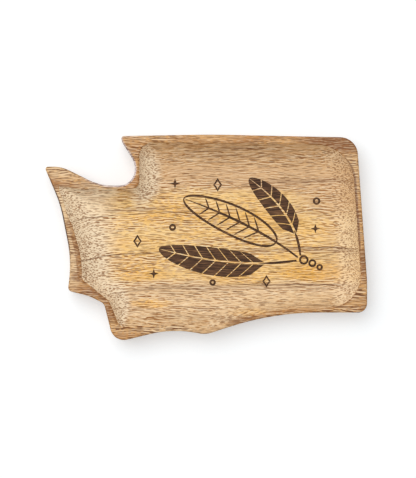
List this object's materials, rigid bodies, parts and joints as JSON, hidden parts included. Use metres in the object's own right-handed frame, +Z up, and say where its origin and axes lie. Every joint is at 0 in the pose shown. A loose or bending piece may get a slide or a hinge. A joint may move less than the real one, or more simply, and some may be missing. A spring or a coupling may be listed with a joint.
{
  "type": "trinket dish",
  "caption": "Flat wooden trinket dish cut from one board, with an irregular notched outline and a shallow recess whose cove falls to a flat floor.",
  "frame": {"origin": "middle of the dish's box, on its flat underside", "axes": "+X along the dish's length and its grain, away from the horn; +Y across it, towards the notched side; +Z up, out of the recess"},
  "size_m": [0.127, 0.0812, 0.0127],
  "materials": {
    "oiled_wood": "oiled, open grained, with a design burnt into the floor"
  },
  "bodies": {
    "root": {"dish_body": "oiled_wood"}
  },
  "joints": []
}
